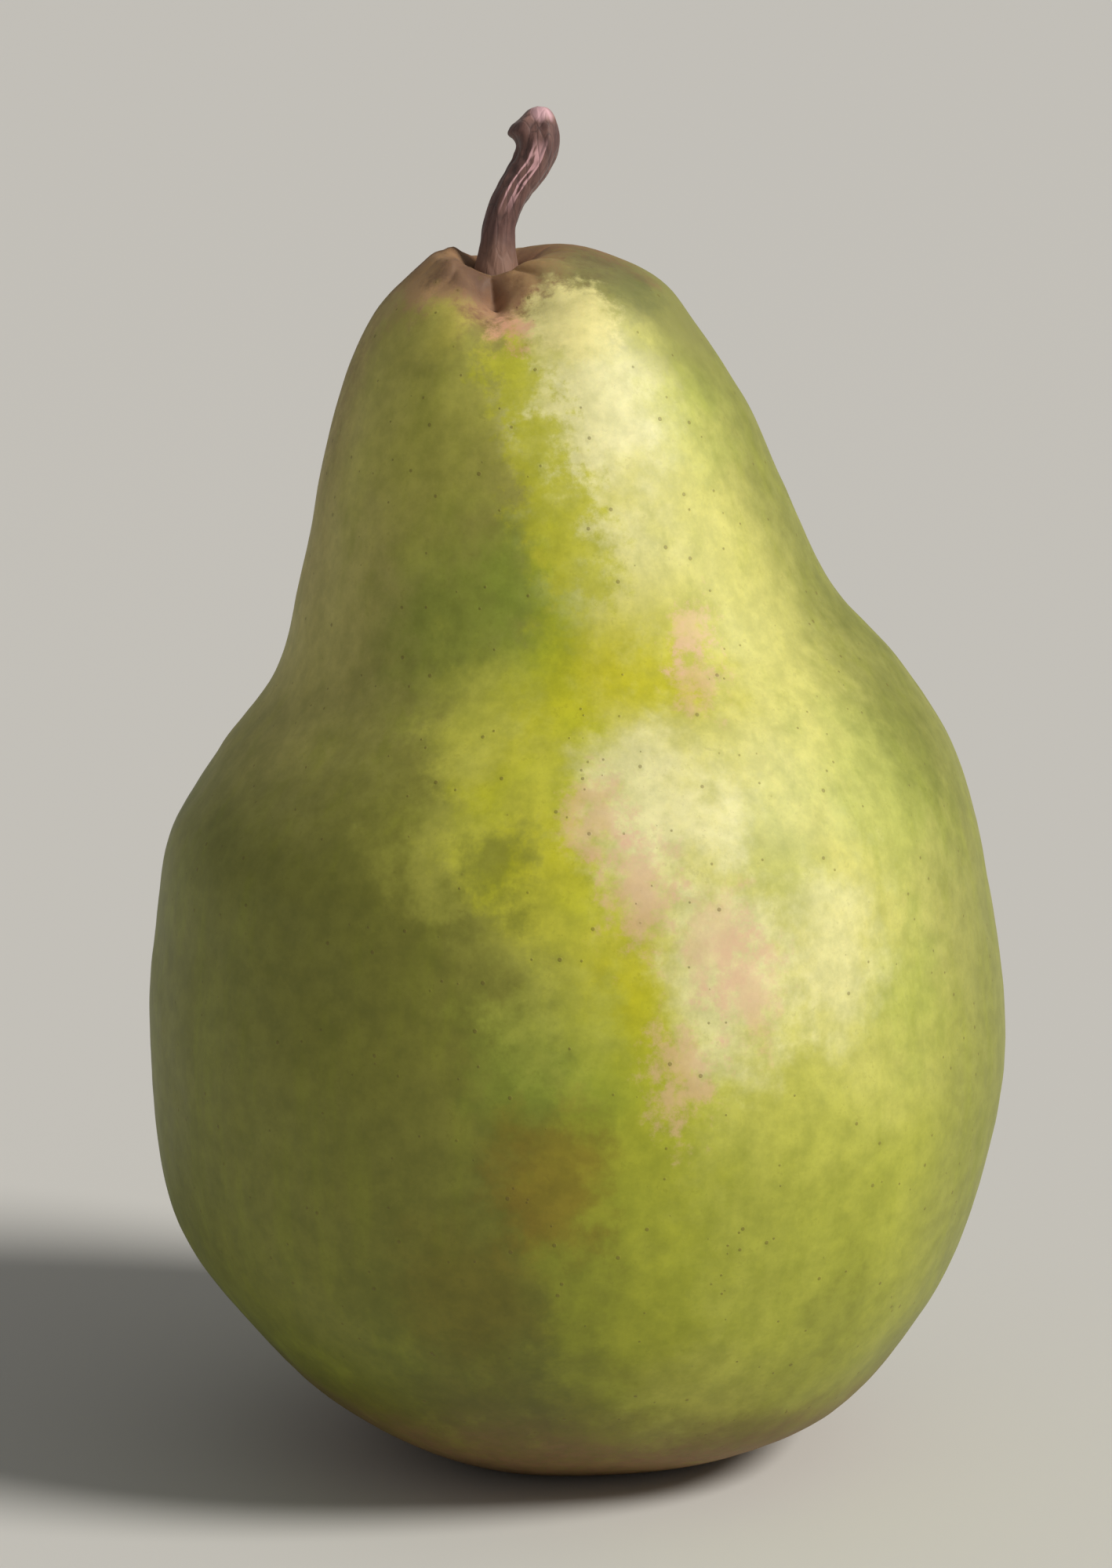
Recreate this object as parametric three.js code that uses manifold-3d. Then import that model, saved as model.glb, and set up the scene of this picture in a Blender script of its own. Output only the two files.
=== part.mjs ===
// A ripe pear that stands upright on the flattened ring round its calyx basin.
// Millimetres, +Z up. The origin is on the table, under the middle of the whole pear's box.
// Three pieces: the fruit, its woody stalk, and the dried calyx in the basin underneath.

import * as THREE from 'three';
import { mergeVertices } from 'three/addons/utils/BufferGeometryUtils.js';
import Module from 'manifold-3d';

const { smoothstep, lerp, clamp } = THREE.MathUtils;

// Driving dimensions
const BELLY_RADIUS = 36; // widest part of the fruit
const BELLY_HEIGHT = 33.5; // of the widest part, above the table
const WAIST_HEIGHT = 70.4; // of the hollow where the belly turns into the neck
const SHOULDER_HEIGHT = 101.8; // of the rim round the stalk
const NECK_LEAN = -4.2; // how far the top of the neck leans to the left
const NECK_TILT = 0.165; // slope of the rings where the leaning neck tips them to the left
const FOOT_RADIUS = 12; // outside of the flat ring that the pear stands on
const BASIN_RADIUS = 9.6; // mouth of the calyx basin
const BASIN_DEPTH = 6.1;
const STALK_FOOT = { x: -7, y: -2.4 }; // where the stalk enters the fruit
const STALK_RADIUS = 1.32; // the stalk at its slimmest
const STALK_ROOT_RADIUS = 2.1; // its flared foot
const STALK_KNOB_RADIUS = 1.65; // its thickened top end
const SOCKET_DEPTH = 6.4; // of the stalk's root, below the shoulders
const SEPAL_COUNT = 5;
const SEPAL_WIDTH = 3.8;
const SEPAL_THICKNESS = 0.7;
const CLEARANCE = 0.4; // between two pieces that touch on a real pear

// Fineness of the faceted solids: sides round the axis, and steps between two section points
const FRUIT_SIDES = 72;
const FRUIT_STEPS = 3;
const STALK_SIDES = 20;
const STALK_STEPS = 4;
const CUP_SIDES = 25;
const CUP_STEPS = 2;
const SEPAL_STEPS = 8;

const SOCKET_RADIUS = STALK_ROOT_RADIUS + CLEARANCE;
const SOCKET_FLOOR = SHOULDER_HEIGHT - SOCKET_DEPTH;
const LIP_RADIUS = SOCKET_RADIUS + 1; // where the flesh hugs the stalk at the left
const RIM_RADIUS = 5; // crest of the rim round the stalk
const CLOSING_RADIUS = 11.6; // from here up, the rings close in on the stalk
const CLEFT_ANGLE = -1.65; // to the front of the stalk, and a little to its left

// A ring of the skin: its height, its radius, and how far its centre lies to the right
function ring(height, radius, lean) {
  return { height, radius, lean };
}

// A ring as shares of the fruit's height, of its widest radius and of its neck's lean
function bodyRing(up, out, over) {
  return ring(up * SHOULDER_HEIGHT, out * BELLY_RADIUS, over * NECK_LEAN);
}

// The skin in section, from the basin's floor round the belly and up the neck into the socket
// that the stalk stands in
const SKIN_SECTION = [
  ring(BASIN_DEPTH, 0, 0),
  ring(BASIN_DEPTH - 0.2, 3.1, 0),
  ring(BASIN_DEPTH * 0.55, BASIN_RADIUS * 0.7, 0),
  ring(0, BASIN_RADIUS, 0),
  ring(0, FOOT_RADIUS, 0),
  bodyRing(0.047, 0.617, -0.29),
  bodyRing(0.112, 0.797, -0.07),
  bodyRing(0.201, 0.944, 0.12),
  ring(BELLY_HEIGHT, BELLY_RADIUS, 0),
  bodyRing(0.461, 0.972, 0.07),
  bodyRing(0.551, 0.919, 0.21),
  bodyRing(0.624, 0.794, 0.35),
  ring(WAIST_HEIGHT, BELLY_RADIUS * 0.644, NECK_LEAN * 0.5),
  bodyRing(0.778, 0.556, 0.7),
  bodyRing(0.864, 0.475, 0.9),
  bodyRing(0.93, 0.392, 1),
  bodyRing(0.968, CLOSING_RADIUS / BELLY_RADIUS, 1),
  ring(SHOULDER_HEIGHT - 1.1, 8.4, NECK_LEAN),
  ring(SHOULDER_HEIGHT, RIM_RADIUS, NECK_LEAN),
  ring(SHOULDER_HEIGHT - 0.9, SOCKET_RADIUS + 0.4, NECK_LEAN),
  ring(SHOULDER_HEIGHT - 3, SOCKET_RADIUS, NECK_LEAN),
  ring(SOCKET_FLOOR + 0.7, SOCKET_RADIUS, NECK_LEAN),
  ring(SOCKET_FLOOR, SOCKET_RADIUS * 0.65, NECK_LEAN),
  ring(SOCKET_FLOOR, 0, NECK_LEAN),
];

// The stalk's middle line, measured from where it passes the shoulders: upright out of its
// socket, bending to the right and the back, then upright again
const STALK_LINE = [
  new THREE.Vector3(0, 0, CLEARANCE - SOCKET_DEPTH),
  new THREE.Vector3(0, 0, -2.5),
  new THREE.Vector3(0.15, 0.1, 0),
  new THREE.Vector3(0.3, 0.3, 2),
  new THREE.Vector3(0.8, 0.5, 3.8),
  new THREE.Vector3(1.7, 0.9, 5.5),
  new THREE.Vector3(2.9, 1.4, 7.2),
  new THREE.Vector3(3.55, 1.9, 9),
  new THREE.Vector3(3.6, 2.3, 10.5),
  new THREE.Vector3(3.45, 2.6, 11.9),
];

// The stalk's radius along that line, from its root, at 0, to its rounded top end, at 1
const STALK_SECTION = [
  { along: 0, radius: 0 },
  { along: 0, radius: STALK_ROOT_RADIUS * 0.6 },
  { along: 0.05, radius: STALK_ROOT_RADIUS - 0.1 },
  { along: 0.14, radius: STALK_ROOT_RADIUS },
  { along: 0.25, radius: STALK_ROOT_RADIUS - 0.25 },
  { along: 0.38, radius: STALK_RADIUS + 0.08 },
  { along: 0.55, radius: STALK_RADIUS },
  { along: 0.72, radius: STALK_KNOB_RADIUS - 0.15 },
  { along: 0.86, radius: STALK_KNOB_RADIUS },
  { along: 0.93, radius: STALK_KNOB_RADIUS - 0.3 },
  { along: 0.985, radius: STALK_KNOB_RADIUS * 0.5 },
  { along: 1, radius: 0 },
];

// The dried flower tube in the basin: a shallow cup, open downwards, that carries the sepals
const CUP_TOP = BASIN_DEPTH - 0.2 - CLEARANCE;
const CUP_SECTION = [
  { height: CUP_TOP - 1.0, radius: 0 },
  { height: CUP_TOP - 1.2, radius: 1.4 },
  { height: CUP_TOP - 1.8, radius: 2.3 },
  { height: CUP_TOP - 0.9, radius: 2.7 },
  { height: CUP_TOP, radius: 2.0 },
  { height: CUP_TOP, radius: 0 },
];

// A sepal's middle line, from the cup out along the basin's wall, with its tip curled down
const SEPAL_LINE = new THREE.CatmullRomCurve3([
  new THREE.Vector3(1.8, 0, CUP_TOP - 1.0),
  new THREE.Vector3(3.5, 0, CUP_TOP - 1.7),
  new THREE.Vector3(5.1, 0, CUP_TOP - 2.5),
  new THREE.Vector3(6.1, 0, CUP_TOP - 3.5),
  new THREE.Vector3(6.4, 0, CUP_TOP - 4.5),
]);

// 1 at the middle angle, falling smoothly to 0 half a width away
function angleBump(angle, middle, halfWidth) {
  const away = Math.abs(Math.atan2(Math.sin(angle - middle), Math.cos(angle - middle)));
  return 1 - smoothstep(away, 0, halfWidth);
}

// The fruit's uneven growth: five faint lobes near the calyx and a slow lumpiness all over
function growth(angle, height) {
  const nearCalyx = 1 - smoothstep(height, 0.2 * BELLY_HEIGHT, 1.5 * BELLY_HEIGHT);
  const lobes = 0.016 * nearCalyx * Math.cos(5 * (angle - 0.4));
  const lumps = 0.01 * Math.cos(3 * angle + 1.1 + 0.022 * height);
  const flattening = 0.008 * Math.cos(2 * angle - 0.6);
  return 1 + lobes + lumps + flattening;
}

// How steeply the leaning neck tips the rings; they lie level round the belly and at the top
function ringTilt(height) {
  const aboveBelly = smoothstep(height, BELLY_HEIGHT + 6, WAIST_HEIGHT + 5);
  return NECK_TILT * aboveBelly * (1 - smoothstep(height, WAIST_HEIGHT + 12, SHOULDER_HEIGHT));
}

// The rim round the stalk: a broad shoulder at the right, a small one at the left with a lip that
// hugs the stalk, and between them a cleft that opens to the front and runs out down the neck
function rimLift(angle, radius) {
  const onRim = smoothstep(radius, SOCKET_RADIUS + 0.1, RIM_RADIUS);
  const nearRim = 1 - smoothstep(radius, RIM_RADIUS + 0.6, CLOSING_RADIUS);
  const aboveNeck = 1 - smoothstep(radius, RIM_RADIUS + 1, CLOSING_RADIUS + 5);
  const rightShoulder = 0.6 * angleBump(angle, 0.35, 1.3);
  const leftShoulder = 0.3 * angleBump(angle, 2.9, 0.8);
  const backCleft = 0.55 * angleBump(angle, 1.9, 0.6);
  const frontCleft = 3.6 * angleBump(angle, CLEFT_ANGLE, 0.9);
  const besideSocket = smoothstep(radius, SOCKET_RADIUS - 0.6, RIM_RADIUS - 0.4);
  const besideStalk = 1 - smoothstep(Math.abs(radius - LIP_RADIUS), 0, 1.8);
  const lip = 0.75 * besideStalk * angleBump(angle, 2.9, 0.8);
  const shoulders = onRim * (aboveNeck * rightShoulder + nearRim * (leftShoulder - backCleft));
  return shoulders + lip - aboveNeck * besideSocket * frontCleft;
}

// The furrow that the cleft leaves down the front of the neck
function furrow(angle, height, radius) {
  const belowShoulder = smoothstep(height, SHOULDER_HEIGHT - 14, SHOULDER_HEIGHT - 4);
  const outsideRim = smoothstep(radius, RIM_RADIUS, CLOSING_RADIUS);
  return 1.3 * belowShoulder * outsideRim * angleBump(angle, CLEFT_ANGLE, 0.5);
}

// Where the skin is: the rings lean and tip with the neck, close in on the stalk at the top, and
// are flattened where the pear stands
function skinPoint({ x: radius, y: height, z: lean }, angle) {
  const atTop = height > WAIST_HEIGHT;
  const closing = atTop ? 1 - smoothstep(radius, SOCKET_RADIUS, CLOSING_RADIUS) : 0;
  const reach = radius * growth(angle, height) - furrow(angle, height, radius);
  const lift = ringTilt(height) * reach * Math.cos(angle) + (atTop ? rimLift(angle, radius) : 0);
  return new THREE.Vector3(
    lerp(lean, STALK_FOOT.x, closing) + reach * Math.cos(angle),
    lerp(0, STALK_FOOT.y, closing) + reach * Math.sin(angle),
    Math.max(height + lift, 0)
  );
}

// Fine woody ridges along the stalk, and a bud scar that swells its top end to the left
function stalkRelief(angle, along) {
  const aboveSocket = smoothstep(along, 0.25, 0.35);
  const ridges = 0.05 * Math.cos(5 * angle + 6 * along) + 0.03 * Math.cos(9 * angle - 4 * along);
  const scar = 0.62 * angleBump(angle, Math.PI, 1.5) * Math.exp(-(((along - 0.885) / 0.07) ** 4));
  return 1 + aboveSocket * ridges + scar;
}

function stalkPoint(path, { x: radius, y: height }, angle) {
  const along = clamp(height / path.getLength(), 0, 1);
  const reach = radius * stalkRelief(angle, along);
  const tangent = path.getTangentAt(along);
  const right = new THREE.Vector3(1, 0, 0).projectOnPlane(tangent).normalize();
  const back = tangent.clone().cross(right);
  return path
    .getPointAt(along)
    .addScaledVector(right, reach * Math.cos(angle))
    .addScaledVector(back, reach * Math.sin(angle));
}

// Weld a geometry's seams and poles, keeping its positions alone
function weld(geometry) {
  geometry.deleteAttribute('normal');
  geometry.deleteAttribute('uv');
  return mergeVertices(geometry, 1e-4);
}

// A turned solid, round +Z, whose rings follow a smooth line through the section's points. Each
// vertex is then moved to where place() puts its ring and angle.
function turned(section, steps, sides, place) {
  const rings = new THREE.CatmullRomCurve3(section).getPoints((section.length - 1) * steps);
  rings.forEach((ring) => ring.setX(Math.max(ring.x, 0)));
  const profile = rings.map((ring) => new THREE.Vector2(ring.x, ring.y));
  const geometry = new THREE.LatheGeometry(profile, sides).rotateX(Math.PI / 2);
  const position = geometry.getAttribute('position');
  for (let i = 0; i < position.count; i += 1) {
    const angle = Math.atan2(position.getY(i), position.getX(i));
    const point = place(rings[i % rings.length], angle);
    position.setXYZ(i, point.x, point.y, point.z);
  }
  return weld(geometry);
}

function makeFruit() {
  const section = SKIN_SECTION.map((s) => new THREE.Vector3(s.radius, s.height, s.lean));
  return turned(section, FRUIT_STEPS, FRUIT_SIDES, skinPoint);
}

function makeStalk() {
  const path = new THREE.CatmullRomCurve3(STALK_LINE);
  const length = path.getLength();
  const section = STALK_SECTION.map((s) => new THREE.Vector3(s.radius, s.along * length, 0));
  const place = (at, angle) => stalkPoint(path, at, angle);
  const geometry = turned(section, STALK_STEPS, STALK_SIDES, place);
  return geometry.translate(STALK_FOOT.x, STALK_FOOT.y, SHOULDER_HEIGHT);
}

// One sepal: a thin pointed tongue that follows its middle line and is hollowed along it. Its
// length, width and twist differ a little from its neighbours'.
function makeSepal(index) {
  const geometry = new THREE.BoxGeometry(1, 1, 1, SEPAL_STEPS, 4, 1);
  const length = 0.92 + 0.08 * Math.sin(2.3 * index);
  const width = SEPAL_WIDTH * (0.9 + 0.1 * Math.cos(1.7 * index));
  const position = geometry.getAttribute('position');
  for (let i = 0; i < position.count; i += 1) {
    const along = (position.getX(i) + 0.5) * length;
    const across = position.getY(i) * 2;
    const taper = 1 - 0.85 * smoothstep(along, 0.2, length);
    const tangent = SEPAL_LINE.getTangentAt(along);
    const outwards = new THREE.Vector3(-tangent.z, 0, tangent.x);
    const hollow = 0.4 * across * across * taper;
    const twist = 0.5 * Math.sin(3.1 * index) * along * across * taper;
    const point = SEPAL_LINE.getPointAt(along);
    point.addScaledVector(outwards, position.getZ(i) * SEPAL_THICKNESS - hollow + twist);
    point.y = across * 0.5 * width * taper;
    position.setXYZ(i, point.x, point.y, point.z);
  }
  return weld(geometry.rotateZ((index * 2 * Math.PI) / SEPAL_COUNT + 0.3));
}

const wasm = await Module();
wasm.setup();

function toSolid(geometry) {
  return new wasm.Manifold(
    new wasm.Mesh({
      numProp: 3,
      vertProperties: geometry.getAttribute('position').array,
      triVerts: new Uint32Array(geometry.index.array),
    })
  );
}

function toGeometry(solid) {
  const { vertProperties, triVerts } = solid.getMesh();
  return new THREE.BufferGeometry()
    .setAttribute('position', new THREE.BufferAttribute(vertProperties, 3))
    .setIndex(new THREE.BufferAttribute(triVerts, 1));
}

// The cup and its ring of sepals, grown together
function makeCalyx() {
  const section = CUP_SECTION.map((s) => new THREE.Vector3(s.radius, s.height, 0));
  const place = (at, angle) =>
    new THREE.Vector3(at.x * Math.cos(angle), at.x * Math.sin(angle), at.y);
  const cup = turned(section, CUP_STEPS, CUP_SIDES, place);
  let calyx = toSolid(cup);
  for (let i = 0; i < SEPAL_COUNT; i += 1) {
    calyx = calyx.add(toSolid(makeSepal(i)));
  }
  return toGeometry(calyx);
}

function addPiece(group, name, geometry, color, roughness) {
  geometry.computeVertexNormals();
  const material = new THREE.MeshStandardMaterial({ color, roughness, metalness: 0 });
  const mesh = new THREE.Mesh(geometry, material);
  mesh.name = name;
  group.add(mesh);
}

const pear = new THREE.Group();
addPiece(pear, 'fruit', makeFruit(), 0xb5b957, 0.5);
addPiece(pear, 'stem', makeStalk(), 0x66473f, 0.8);
addPiece(pear, 'calyx', makeCalyx(), 0x4a3626, 0.9);

// The origin goes under the middle of the box
const box = new THREE.Box3().setFromObject(pear);
const middle = box.getCenter(new THREE.Vector3());
pear.position.set(-middle.x, -middle.y, -box.min.z);

export default pear;
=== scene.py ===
import math

import bpy
import numpy as np
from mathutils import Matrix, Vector, noise


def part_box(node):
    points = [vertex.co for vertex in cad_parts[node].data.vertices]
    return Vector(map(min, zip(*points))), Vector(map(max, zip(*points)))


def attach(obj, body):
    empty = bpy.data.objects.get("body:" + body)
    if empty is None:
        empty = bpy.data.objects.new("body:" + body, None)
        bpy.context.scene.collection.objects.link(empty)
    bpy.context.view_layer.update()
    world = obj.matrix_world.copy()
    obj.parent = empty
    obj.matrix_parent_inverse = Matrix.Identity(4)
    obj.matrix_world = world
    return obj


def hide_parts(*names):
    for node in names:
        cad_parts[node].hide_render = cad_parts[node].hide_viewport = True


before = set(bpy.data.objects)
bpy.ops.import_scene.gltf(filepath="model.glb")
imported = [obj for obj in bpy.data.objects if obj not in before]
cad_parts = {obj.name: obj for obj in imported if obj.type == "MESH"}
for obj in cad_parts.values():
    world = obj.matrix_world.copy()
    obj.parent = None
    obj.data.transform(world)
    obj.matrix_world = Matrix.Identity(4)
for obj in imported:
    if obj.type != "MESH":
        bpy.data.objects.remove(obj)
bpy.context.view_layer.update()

MM = 0.001
TAU = 2 * math.pi

# Driving dimensions in millimetres, and counts, the same as the CAD solids'
BELLY_RADIUS = 36.0
BELLY_HEIGHT = 33.5
WAIST_HEIGHT = 70.4
SHOULDER_HEIGHT = 101.8
NECK_LEAN = -4.2
NECK_TILT = 0.165
FOOT_RADIUS = 12.0
BASIN_RADIUS = 9.6
BASIN_DEPTH = 6.1
STALK_FOOT = (-7.0, -2.4)
STALK_RADIUS = 1.32
STALK_ROOT_RADIUS = 2.1
STALK_KNOB_RADIUS = 1.65
SOCKET_DEPTH = 6.4
SEPAL_COUNT = 5
SEPAL_WIDTH = 3.8
SEPAL_THICKNESS = 0.7
CLEARANCE = 0.4

SOCKET_RADIUS = STALK_ROOT_RADIUS + CLEARANCE
SOCKET_FLOOR = SHOULDER_HEIGHT - SOCKET_DEPTH
LIP_RADIUS = SOCKET_RADIUS + 1.0
RIM_RADIUS = 5.0
CLOSING_RADIUS = 11.6
CLEFT_ANGLE = -1.65
CUP_TOP = BASIN_DEPTH - 0.2 - CLEARANCE

# Withered stamens in the calyx, which the solids leave out
STAMEN_COUNT = 16

# Heights between which the core leans over, for the colours' directions
NECK_HEIGHTS = (55.0, 98.0)

# Fineness of the dressed meshes: sides round the axis, and millimetres between two rings
SKIN_SIDES = 320
SKIN_SPACING = 0.66
STALK_SIDES = 96
STALK_SPACING = 0.11
CUP_SIDES = 60
SEPAL_SIDES = 40
STAMEN_SIDES = 8

# Fine relief of the skin in millimetres
DENT_SIZE = 15.0
DENT_DEPTH = 0.28
GRAIN_SIZE = 3.2
GRAIN_DEPTH = 0.05
FOLD_DEPTH = 0.3
CREASE_DEPTH = 0.12
CLEFT_CREASE_DEPTH = 0.3

# Fine relief of the stalk, as shares of its radius
SCAR_REACH = 0.66
FISSURE_DEPTH = 0.03
LUMP_DEPTH = 0.06
WRINKLE_DEPTH = 0.01

# Camera (its lens in millimetres), light and floor
VIEW_TARGET = Vector((-1.88, -0.5, 57.0)) * MM
VIEW_DISTANCE = 439.5 * MM
VIEW_ELEVATION = math.radians(12)
LENS = 120
KEY_STRENGTH = 3.0
KEY_SPREAD = math.radians(18)
KEY_COLOUR = (1.0, 0.97, 0.92)
KEY_AZIMUTH = math.radians(-23)
KEY_ELEVATION = math.radians(38)
STUDIO_COLOUR = (1.0, 0.99, 0.97, 1)
STUDIO_LIGHT = 0.21
STUDIO_SEEN = 0.6
FLOOR_REACH = 12000 * MM
FLOOR_COLOUR = (0.69, 0.68, 0.65, 1)


# --- Shapes -----------------------------------------------------------------------------------

def smoothstep(value, low, high):
    t = np.clip((value - low) / (high - low), 0, 1)
    return t * t * (3 - 2 * t)


def smooth_line(points, spacing, least=3):
    """Points along a smooth line through the given ones (a centripetal Catmull-Rom curve)."""
    points = np.array(points, float)
    ends = [2 * points[0] - points[1]], [2 * points[-1] - points[-2]]
    guides = np.vstack([ends[0], points, ends[1]])
    line = []
    for a, b, c, d in zip(guides, guides[1:], guides[2:], guides[3:]):
        knot = [max(np.linalg.norm(q - p), 1e-4) ** 0.5 for p, q in ((a, b), (b, c), (c, d))]
        start = (b - a) / knot[0] - (c - a) / (knot[0] + knot[1]) + (c - b) / knot[1]
        end = (c - b) / knot[1] - (d - b) / (knot[1] + knot[2]) + (d - c) / knot[2]
        start, end = start * knot[1], end * knot[1]
        steps = max(least, math.ceil(np.linalg.norm(c - b) / spacing))
        for t in np.arange(steps) / steps:
            curve = b + t * start + t * t * (3 * (c - b) - 2 * start - end)
            line.append(curve + t**3 * (2 * (b - c) + start + end))
    return np.array(line + [points[-1]])


def angle_bump(angle, middle, half_width):
    """1 at the middle angle, falling smoothly to 0 half a width away."""
    away = np.abs(np.arctan2(np.sin(angle - middle), np.cos(angle - middle)))
    return 1 - smoothstep(away, 0, half_width)


def body_ring(up, out, over):
    return (out * BELLY_RADIUS, up * SHOULDER_HEIGHT, over * NECK_LEAN)


def skin_section():
    """The skin's rings as (radius, height, lean of the centre), from the basin to the socket."""
    top, lean = SHOULDER_HEIGHT, NECK_LEAN
    return [
        (0, BASIN_DEPTH, 0),
        (3.1, BASIN_DEPTH - 0.2, 0),
        (BASIN_RADIUS * 0.7, BASIN_DEPTH * 0.55, 0),
        (BASIN_RADIUS, 0, 0),
        (FOOT_RADIUS, 0, 0),
        body_ring(0.047, 0.617, -0.29),
        body_ring(0.112, 0.797, -0.07),
        body_ring(0.201, 0.944, 0.12),
        (BELLY_RADIUS, BELLY_HEIGHT, 0),
        body_ring(0.461, 0.972, 0.07),
        body_ring(0.551, 0.919, 0.21),
        body_ring(0.624, 0.794, 0.35),
        (BELLY_RADIUS * 0.644, WAIST_HEIGHT, lean * 0.5),
        body_ring(0.778, 0.556, 0.7),
        body_ring(0.864, 0.475, 0.9),
        body_ring(0.93, 0.392, 1),
        body_ring(0.968, CLOSING_RADIUS / BELLY_RADIUS, 1),
        (8.4, top - 1.1, lean),
        (RIM_RADIUS, top, lean),
        (STALK_ROOT_RADIUS + 0.4, top - 0.9, lean),
        (STALK_ROOT_RADIUS + 0.05, top - 3, lean),
        (SOCKET_RADIUS, SOCKET_FLOOR + 0.7, lean),
        (SOCKET_RADIUS * 0.65, SOCKET_FLOOR, lean),
        (0, SOCKET_FLOOR, lean),
    ]


def growth(angle, height):
    """The fruit's uneven growth: five lobes near the calyx and a slow lumpiness all over."""
    near_calyx = 1 - smoothstep(height, 0.2 * BELLY_HEIGHT, 1.5 * BELLY_HEIGHT)
    lobes = 0.016 * near_calyx * np.cos(5 * (angle - 0.4))
    lumps = 0.01 * np.cos(3 * angle + 1.1 + 0.022 * height)
    return 1 + lobes + lumps + 0.008 * np.cos(2 * angle - 0.6)


def ring_tilt(height):
    above_belly = smoothstep(height, BELLY_HEIGHT + 6, WAIST_HEIGHT + 5)
    return NECK_TILT * above_belly * (1 - smoothstep(height, WAIST_HEIGHT + 12, SHOULDER_HEIGHT))


def rim_lift(angle, radius):
    """Shoulders at the right and left of the stalk, and the cleft that opens to the front."""
    on_rim = smoothstep(radius, SOCKET_RADIUS + 0.1, RIM_RADIUS)
    near_rim = 1 - smoothstep(radius, RIM_RADIUS + 0.6, CLOSING_RADIUS)
    above_neck = 1 - smoothstep(radius, RIM_RADIUS + 1, CLOSING_RADIUS + 5)
    right_shoulder = 0.6 * angle_bump(angle, 0.35, 1.3)
    left_shoulder = 0.3 * angle_bump(angle, 2.9, 0.8)
    back_cleft = 0.55 * angle_bump(angle, 1.9, 0.6)
    front_cleft = 3.6 * angle_bump(angle, CLEFT_ANGLE, 0.9)
    beside_socket = smoothstep(radius, SOCKET_RADIUS - 0.6, RIM_RADIUS - 0.4)
    beside_stalk = 1 - smoothstep(np.abs(radius - LIP_RADIUS), 0, 1.8)
    lip = 0.75 * beside_stalk * angle_bump(angle, 2.9, 0.8)
    shoulders = on_rim * (above_neck * right_shoulder + near_rim * (left_shoulder - back_cleft))
    return shoulders + lip - above_neck * beside_socket * front_cleft


def furrow(angle, height, radius):
    """The furrow that the cleft leaves down the front of the neck."""
    below_shoulder = smoothstep(height, SHOULDER_HEIGHT - 14, SHOULDER_HEIGHT - 4)
    outside_rim = smoothstep(radius, RIM_RADIUS, CLOSING_RADIUS)
    return 1.3 * below_shoulder * outside_rim * angle_bump(angle, CLEFT_ANGLE, 0.5)


def skin_points(section, sides):
    """The skin as a grid of points: one row for each ring of the section."""
    radius, height, lean = (column[:, None] for column in section.T)
    radius = np.maximum(radius, 0)
    angle = np.arange(sides) * TAU / sides
    top = height > WAIST_HEIGHT
    closing = np.where(top, 1 - smoothstep(radius, SOCKET_RADIUS, CLOSING_RADIUS), 0)
    reach = radius * growth(angle, height) - furrow(angle, height, radius)
    lift = ring_tilt(height) * reach * np.cos(angle) + np.where(top, rim_lift(angle, radius), 0)
    x = lean + (STALK_FOOT[0] - lean) * closing + reach * np.cos(angle)
    y = STALK_FOOT[1] * closing + reach * np.sin(angle)
    z = np.maximum(height + lift, 0)
    return np.stack([x, y, z], axis=-1)


def sum_noise(points, size, octaves):
    """Smooth noise from about -1 to 1, with features of this size in the points' units."""
    return np.array([noise.fractal(Vector(p / size), 1.0, 2.0, octaves) for p in points])


def shell(grid):
    """Points and faces of a closed shell over rings whose first and last are single points."""
    rings, sides, _ = grid.shape
    points = np.vstack([grid[0, :1], grid[1:-1].reshape(-1, 3), grid[-1, :1]])
    index = np.arange(rings * sides).reshape(rings, sides) - sides + 1
    index[0], index[-1] = 0, len(points) - 1
    onward = np.roll(index, -1, axis=1)
    quads = np.stack([index[1:-2], onward[1:-2], onward[2:-1], index[2:-1]], axis=-1)
    first = np.stack([index[0], onward[1], index[1]], axis=-1)
    last = np.stack([index[-2], onward[-2], index[-1]], axis=-1)
    return points, quads.reshape(-1, 4).tolist() + first.tolist() + last.tolist()


def make_mesh(name, shells):
    points, faces = [], []
    for shell_points, shell_faces in shells:
        faces += [[corner + len(points) for corner in face] for face in shell_faces]
        points += shell_points.tolist()
    mesh = bpy.data.meshes.new(name)
    mesh.from_pydata(points, [], faces)
    mesh.shade_smooth()
    piece = bpy.data.objects.new(name, mesh)
    bpy.context.scene.collection.objects.link(piece)
    return piece


def vertices(piece):
    points = np.zeros(len(piece.data.vertices) * 3)
    piece.data.vertices.foreach_get("co", points)
    return points.reshape(-1, 3)


def normals(piece):
    found = np.zeros(len(piece.data.vertices) * 3)
    piece.data.vertex_normals.foreach_get("vector", found)
    return found.reshape(-1, 3)


def settle(piece, points, node):
    """Give a piece its final points, its box set on the CAD node's, in place of that node."""
    low, high = (np.array(corner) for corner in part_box(node))
    span = points.max(0) - points.min(0)
    points = low + (points - points.min(0)) / span * (high - low)
    piece.data.vertices.foreach_set("co", points.ravel())
    piece.data.update()
    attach(piece, "root")
    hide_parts(node)


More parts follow.
